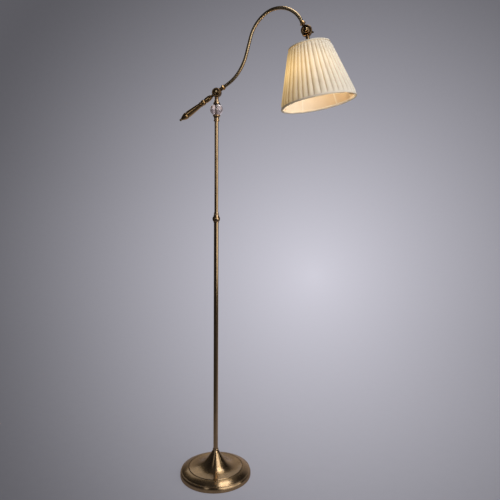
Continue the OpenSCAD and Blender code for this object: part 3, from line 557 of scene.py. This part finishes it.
class LAMP_OT_cover(bpy.types.Operator):
    """Makes the pleated cotton cover of the shade"""
    bl_idname = "lamp.cover"
    bl_label = "Pleated cover"

    def execute(self, context):
        settings = context.scene.lamp_shade
        draw = random.Random(11)
        # In mm: thickness, gap to the wires, fold depth at the bound edges, and how far that reaches
        cloth = 0.35
        gap = 1.0
        edge = 0.8
        press = 12.0
        # Where the points of one fold stand in its width; the valley is at 0
        stations = (0.0, 0.05, 0.11, 0.18, 0.27, 0.38, 0.5, 0.62, 0.73, 0.82, 0.89, 0.95)
        widths = [1 + draw.uniform(-0.16, 0.16) for _ in range(settings.pleats)]
        whole = sum(widths)
        starts = [sum(widths[:k]) / whole for k in range(settings.pleats)]
        depths = [draw.uniform(0.8, 1.0) for _ in range(settings.pleats)]
        drifts = [(draw.uniform(0, math.tau), draw.uniform(0.3, 1.0)) for _ in range(settings.pleats)]
        leans = [draw.uniform(-0.1, 0.16) for _ in range(settings.pleats)]
        rows = 36
        place = shade_place()
        outer, inner = [], []
        shares = []
        for row in range(rows + 1):
            down = row / rows
            s = COVER_TOP + (COVER_END - COVER_TOP) * down
            free = smooth_step((s - COVER_TOP) / press) * smooth_step((COVER_END - s) / press)
            full = (settings.top_depth + (settings.bottom_depth - settings.top_depth) * down) / MM
            valley = wire_radius(s) + gap
            out_ring, in_ring, share_ring = [], [], []
            for pleat in range(settings.pleats):
                phase, sway = drifts[pleat]
                wander = 0.0048 * sway * math.sin(phase + 5 * down) * free
                depth = edge + (full * depths[pleat] - edge) * free
                for at in stations:
                    belly = 4 * at * (1 - at)
                    across = min(max(at + leans[pleat] * at * (1 - at) * 4 * free, 0.0), 1.0)
                    turn = starts[pleat] + across * widths[pleat] / whole
                    round_at = math.tau * turn + wander * belly
                    height = math.sin(math.pi * at) ** 0.65
                    radius = valley + depth * height
                    out_ring.append(shade_point(place, radius + cloth, round_at, s))
                    in_ring.append(shade_point(place, radius, round_at, s))
                    share_ring.append((smooth_step((height - 0.2) / 0.65), painted_bulb_glow(s, round_at)))
            outer.append(out_ring)
            inner.append(in_ring)
            shares.append(share_ring)
        points = [share for ring in shares + shares[::-1] for share in ring]
        # fold marks the painted shade and dimmer glow in the pleat valleys, light the painted glow of the
        # bulb
        values = {"fold": [point[0] for point in points], "light": [point[1] for point in points]}
        # Cream cotton laid in pleats over the frame: soft matt folds with the bulb behind them, its light
        # through them painted as glow
        material = cotton("pleated_cotton", settings, 0.9, settings.glow_strength)
        cover = skin("pleated_cover", outer + inner[::-1], True, material, values, sharp=75)
        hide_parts("shade_cover")
        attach(cover, "shade")
        return {"FINISHED"}


class LAMP_OT_lining(bpy.types.Operator):
    """Makes the smooth lining inside the shade"""
    bl_idname = "lamp.lining"
    bl_label = "Lining"

    def execute(self, context):
        settings = context.scene.lamp_shade
        place = shade_place()
        count = 180
        rows = 24
        # In mm: thickness, gap to the wires, and how far the cloth sinks in between two struts
        cloth = 0.4
        gap = 1.05
        sink = 1.1
        outer, inner = [], []
        for row in range(rows + 1):
            down = row / rows
            s = LINING_TOP + (LINING_END - LINING_TOP) * down
            out_ring, in_ring = [], []
            for k in range(count):
                round_at = math.tau * k / count
                # Six struts: the cloth is pulled straight between them and sewn along each
                between = 1 - abs(math.cos(3 * round_at)) ** 0.7
                sag = sink * between * math.sin(math.pi * down)
                radius = wire_radius(s) - gap - sag
                out_ring.append(shade_point(place, radius, round_at, s))
                in_ring.append(shade_point(place, radius - cloth, round_at, s))
            outer.append(out_ring)
            inner.append(in_ring)
        # Smooth ivory polyester satin, stretched: bright and plain, lit by the bulb itself
        satin, tree, shader = new_material("ivory_satin", Roughness=0.6, Sheen_Weight=0.1)
        spot = node(tree, "ShaderNodeTexCoord", {}).outputs["Object"]
        slub = node(tree, "ShaderNodeTexNoise", {"Vector": spot, "Scale": 1000 / 25, "Detail": 3.0})
        mixed = node(tree, "ShaderNodeMix", {
            0: slub.outputs[0], 6: colour(linear("#efe3d0")), 7: colour(linear("#f7eee0"))},
            data_type="RGBA")
        # Painted shade: yellower and darker on the side away from the column, though the bulb hangs on the
        # axis
        far = node(tree, "ShaderNodeAttribute", {}, attribute_name="far").outputs["Fac"]
        warm = node(tree, "ShaderNodeMix", {
            0: far, 6: mixed.outputs[2], 7: colour(linear("#e3c9a0"))}, data_type="RGBA")
        # A doubled, brighter line of cloth where it is sewn along each strut
        seam = node(tree, "ShaderNodeAttribute", {}, attribute_name="seam").outputs["Fac"]
        sewn = node(tree, "ShaderNodeMix", {
            0: seam, 6: warm.outputs[2], 7: colour(linear("#fffaf0"))}, data_type="RGBA")
        tree.links.new(sewn.outputs[2], shader.inputs["Base Color"])
        weave = node(tree, "ShaderNodeTexNoise", {"Vector": spot, "Scale": 1000 / 0.9, "Detail": 2.0})
        bump = node(tree, "ShaderNodeBump", {
            "Height": weave.outputs[0], "Strength": 0.15, "Distance": 0.1 * MM})
        tree.links.new(bump.outputs[0], shader.inputs["Normal"])
        seams = [0.6 if k % (count // 6) == 0 else 0.0 for k in range(count)] * (2 * (rows + 1))
        # Painted shade on the side away from the column
        away = [smooth_step(0.5 + 0.6 * math.cos(math.tau * k / count)) for k in range(count)]
        values = {"seam": seams, "far": away * (2 * (rows + 1))}
        lining = skin("smooth_lining", outer + inner[::-1], True, satin, values, sharp=60)
        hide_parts("shade_lining")
        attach(lining, "shade")
        return {"FINISHED"}


class LAMP_OT_bindings(bpy.types.Operator):
    """Makes the two folded tapes that bind the edges of the shade"""
    bl_idname = "lamp.bindings"
    bl_label = "Bindings"

    def execute(self, context):
        settings = context.scene.lamp_shade
        place = shade_place()
        draw = random.Random(5)
        # Cotton tape folded over the edge, several layers thick, so little light comes through, painted as a
        # faint even glow
        material = cotton("cotton_tape", settings, 1.0, 0.12)
        wall = 0.7
        for name, edge, way, deep in (
                ("top_tape", SHADE_TOP, 1, 5.0), ("bottom_tape", SHADE_END, -1, 6.5)):
            # Half the fold of the tape as (distance out from the wire frame, distance in from the edge)
            outside = [(3.75, deep), (3.8, deep * 0.6), (3.75, 1.6), (3.3, 0.6), (2.2, 0.05), (0.6, 0.0),
                       (-1.0, 0.05), (-2.1, 0.5), (-2.55, 1.5), (-2.6, deep * 0.6), (-2.6, deep)]
            inside = [(-2.6 + wall, deep), (-2.6 + wall, 2.0), (-1.7, 1.1), (-0.8, wall), (0.6, wall),
                      (2.0, wall + 0.05), (2.8, 1.2), (3.05, 2.0), (3.05, deep)]
            count = 192
            waves = [(draw.randint(20, 60), draw.uniform(0, math.tau)) for _ in range(3)]
            rings = []
            for out, inward in outside + inside:
                ring = []
                for k in range(count):
                    round_at = math.tau * k / count
                    pucker = sum(math.sin(n * round_at + shift) for n, shift in waves) / 3
                    s = edge + way * inward * (1 + 0.05 * pucker * (inward > 3))
                    radius = wire_radius(edge + way * inward) + out - 0.12 * (1 + pucker) * (out > 3)
                    ring.append(shade_point(place, radius, round_at, s))
                rings.append(ring)
            total = count * len(rings)
            tape = skin(name, rings, True, material, {"fold": [0.75] * total, "light": [1.0] * total})
            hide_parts("top_binding" if way == 1 else "bottom_binding")
            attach(tape, "shade")
        return {"FINISHED"}


def softbox(name, azimuth, away, height, aim, size, radiance):
    """A rectangular lamp at an azimuth round the column, in degrees and metres."""
    data = bpy.data.lights.new(name, "AREA")
    data.shape = "RECTANGLE"
    data.size, data.size_y = size
    data.energy = radiance * math.pi * size[0] * size[1]
    lamp = bpy.data.objects.new(name, data)
    bpy.context.scene.collection.objects.link(lamp)
    turn = math.radians(azimuth)
    place = Vector((away * math.cos(turn), away * math.sin(turn), height))
    lamp.matrix_world = Matrix.Translation(place) @ (Vector(aim) - place).to_track_quat(
        "-Z", "Y").to_matrix().to_4x4()
    lamp.visible_camera = False
    return lamp


class LAMP_OT_stage(bpy.types.Operator):
    """Sets up the studio: backdrop, lamps, soft light from all round, and the camera"""
    bl_idname = "lamp.stage"
    bl_label = "Studio"

    def execute(self, context):
        settings = context.scene.lamp_studio
        scene = context.scene
        scene.view_settings.view_transform = "Standard"
        # Where the photo was taken from, in metres, with the camera's right and up directions
        eye = Vector((0.414521, -1.685841, 0.977740))
        right = Vector((0.98460226, 0.17455914, 0.00935346))
        up = Vector((-0.02648851, 0.09609219, 0.99501992))
        # Paper bowl: flat floor, a wide curve and an upright wall, well beyond every camera
        floor, wall, height, bend = 2.3, 4.2, 3.6, 1.9
        under_felt = 0.0004
        steps = 24
        count = 96
        profile = [(0.01, 0.0), (0.3, 0.0), (1.0, 0.0), (floor, 0.0)]
        for k in range(1, steps + 1):
            turn = math.pi / 2 * k / steps
            profile.append((floor + bend * math.sin(turn), bend * (1 - math.cos(turn))))
        profile.append((wall, height))
        rings = [[(r * math.cos(math.tau * k / count), r * math.sin(math.tau * k / count), z - under_felt)
                  for k in range(count)] for r, z in profile]
        # Matt seamless paper with painted light: brightest behind the lamp, also in the brass and glass
        paper, tree, shader = new_material("studio_paper", Roughness=0.9, Specular_IOR_Level=0.1)
        place = node(tree, "ShaderNodeTexCoord", {}).outputs["Object"]
        fibre = node(tree, "ShaderNodeTexNoise", {"Vector": place, "Scale": 25.0, "Detail": 3.0})
        tone = node(tree, "ShaderNodeMix", {
            0: fibre.outputs[0], 6: colour([0.17 * v for v in settings.paper]),
            7: colour([0.19 * v for v in settings.paper])}, data_type="RGBA")
        tree.links.new(tone.outputs[2], shader.inputs["Base Color"])
        # A round pool of light painted on the paper, centred on a line from eye, the camera's place. It
        # stays in its place in every other view. Its middle is given by tangents off the axis of that view,
        # and its edge by one off its own axis
        middle_right, middle_down, edge = 0.125, 0.05, 0.824
        aim = (right * middle_right - up * middle_down - right.cross(up)).normalized()
        thrown = node(tree, "ShaderNodeVectorMath", {0: place, 1: eye}, operation="SUBTRACT").outputs[0]
        beside = node(tree, "ShaderNodeVectorMath", {0: thrown, 1: aim}, operation="CROSS_PRODUCT")
        aside = node(tree, "ShaderNodeVectorMath", {0: beside.outputs[0]}, operation="LENGTH")
        ahead = node(tree, "ShaderNodeVectorMath", {0: thrown, 1: aim}, operation="DOT_PRODUCT")
        before = node(tree, "ShaderNodeMath", {0: ahead.outputs["Value"], 1: 0.01}, operation="MAXIMUM")
        slant = node(tree, "ShaderNodeMath", {
            0: aside.outputs["Value"], 1: before.outputs[0]}, operation="DIVIDE")
        painted_pool_fade = node(tree, "ShaderNodeMapRange", {
            "Value": slant.outputs[0], "From Max": edge, "To Min": 1.0, "To Max": 0.0})
        glow = node(tree, "ShaderNodeMath", {0: painted_pool_fade.outputs[0], 1: 1.5}, operation="POWER")
        pool = node(tree, "ShaderNodeMapRange", {
            "Value": glow.outputs[0], "To Min": settings.wall_low, "To Max": settings.wall_high})
        # The rest of the bowl, well outside the pool, is a middle grey
        rest = node(tree, "ShaderNodeMapRange", {
            "Value": slant.outputs[0], "From Min": 0.72, "From Max": 1.7, "To Max": 0.06},
            interpolation_type="SMOOTHSTEP")
        painted_backdrop_light = node(tree, "ShaderNodeMath", {0: pool.outputs[0], 1: rest.outputs[0]}, operation="ADD")
        ray = node(tree, "ShaderNodeLightPath", {})
        seen = node(tree, "ShaderNodeMath", {
            0: ray.outputs["Is Camera Ray"], 1: ray.outputs["Is Transmission Ray"]}, operation="MAXIMUM")
        first = node(tree, "ShaderNodeMath", {
            0: painted_backdrop_light.outputs[0], 1: seen.outputs[0]}, operation="MULTIPLY")
        painted_pool_in_gloss = node(tree, "ShaderNodeMath", {
            0: glow.outputs[0], 1: settings.wall_high}, operation="MULTIPLY")
        second = node(tree, "ShaderNodeMath", {
            0: painted_pool_in_gloss.outputs[0], 1: ray.outputs["Is Glossy Ray"]}, operation="MULTIPLY")
        level = node(tree, "ShaderNodeMath", {
            0: first.outputs[0], 1: second.outputs[0]}, operation="MAXIMUM")
        tree.links.new(level.outputs[0], shader.inputs["Emission Strength"])
        shader.inputs["Emission Color"].default_value = colour(settings.paper)
        bowl = skin("backdrop", rings, False, paper)
        bowl.visible_shadow = False
        bowl.visible_diffuse = False
        softbox("key_softbox", -40, 2.1, 2.15, (0.0, 0.0, 2.1), (1.8, 1.7), settings.key)
        # These two only draw the sheen of the spun base and the light along the handle
        top = softbox("top_softbox", 14, 0.75, 2.9, (0.0, 0.0, 0.0), (1.8, 0.9), settings.top)
        softbox("fill_softbox", -25, 2.3, 0.8, (0.0, 0.0, 0.8), (2.8, 1.0), settings.fill)
        left = softbox("left_softbox", -106, 2.2, 1.6, (0.0, 0.0, 1.4), (0.5, 1.0), settings.left)
        top.visible_diffuse = left.visible_diffuse = False
        softbox("back_softbox", 114, 3.0, 2.5, (0.0, 0.0, 0.3), (2.4, 1.4), settings.back)
        world = bpy.data.worlds.new("studio_light")
        scene.world = world
        world.use_nodes = True
        sky = world.node_tree.nodes["Background"]
        sky.inputs["Color"].default_value = colour(linear("#f4f6fb"))
        sky.inputs["Strength"].default_value = settings.ambient
        data = bpy.data.cameras.new("camera")
        data.lens = 36.70
        data.sensor_width = 36.0
        camera = bpy.data.objects.new("camera", data)
        scene.collection.objects.link(camera)
        turn = Matrix((right, up, right.cross(up))).transposed().to_4x4()
        camera.matrix_world = Matrix.Translation(eye) @ turn
        scene.camera = camera
        return {"FINISHED"}


class LAMP_PT_panel(bpy.types.Panel):
    """Lists the lamp's pieces in the sidebar"""
    bl_label = "Floor lamp"
    bl_space_type = "VIEW_3D"
    bl_region_type = "UI"
    bl_category = "Floor lamp"

    def draw(self, context):
        for operator in OPERATORS:
            self.layout.operator(operator.bl_idname)
        for label in SETTINGS:
            group = getattr(context.scene, label)
            box = self.layout.box()
            for name in group.__annotations__:
                box.prop(group, name)


SETTINGS = {
    "lamp_metal": LampMetalSettings,
    "lamp_glass": LampGlassSettings,
    "lamp_shade": LampShadeSettings,
    "lamp_studio": LampStudioSettings,
}
OPERATORS = (LAMP_OT_stage, LAMP_OT_metal, LAMP_OT_base, LAMP_OT_arm, LAMP_OT_glass, LAMP_OT_cover,
             LAMP_OT_lining, LAMP_OT_bindings)


def register():
    for kind in (*SETTINGS.values(), *OPERATORS, LAMP_PT_panel):
        bpy.utils.register_class(kind)
    for label, kind in SETTINGS.items():
        setattr(bpy.types.Scene, label, bpy.props.PointerProperty(type=kind))


def unregister():
    for label in SETTINGS:
        delattr(bpy.types.Scene, label)
    for kind in (LAMP_PT_panel, *reversed(OPERATORS), *SETTINGS.values()):
        bpy.utils.unregister_class(kind)


def main():
    """Makes the whole scene."""
    register()
    for operator in OPERATORS:
        group, name = operator.bl_idname.split(".")
        getattr(getattr(bpy.ops, group), name)()


if __name__ == "__main__":
    main()
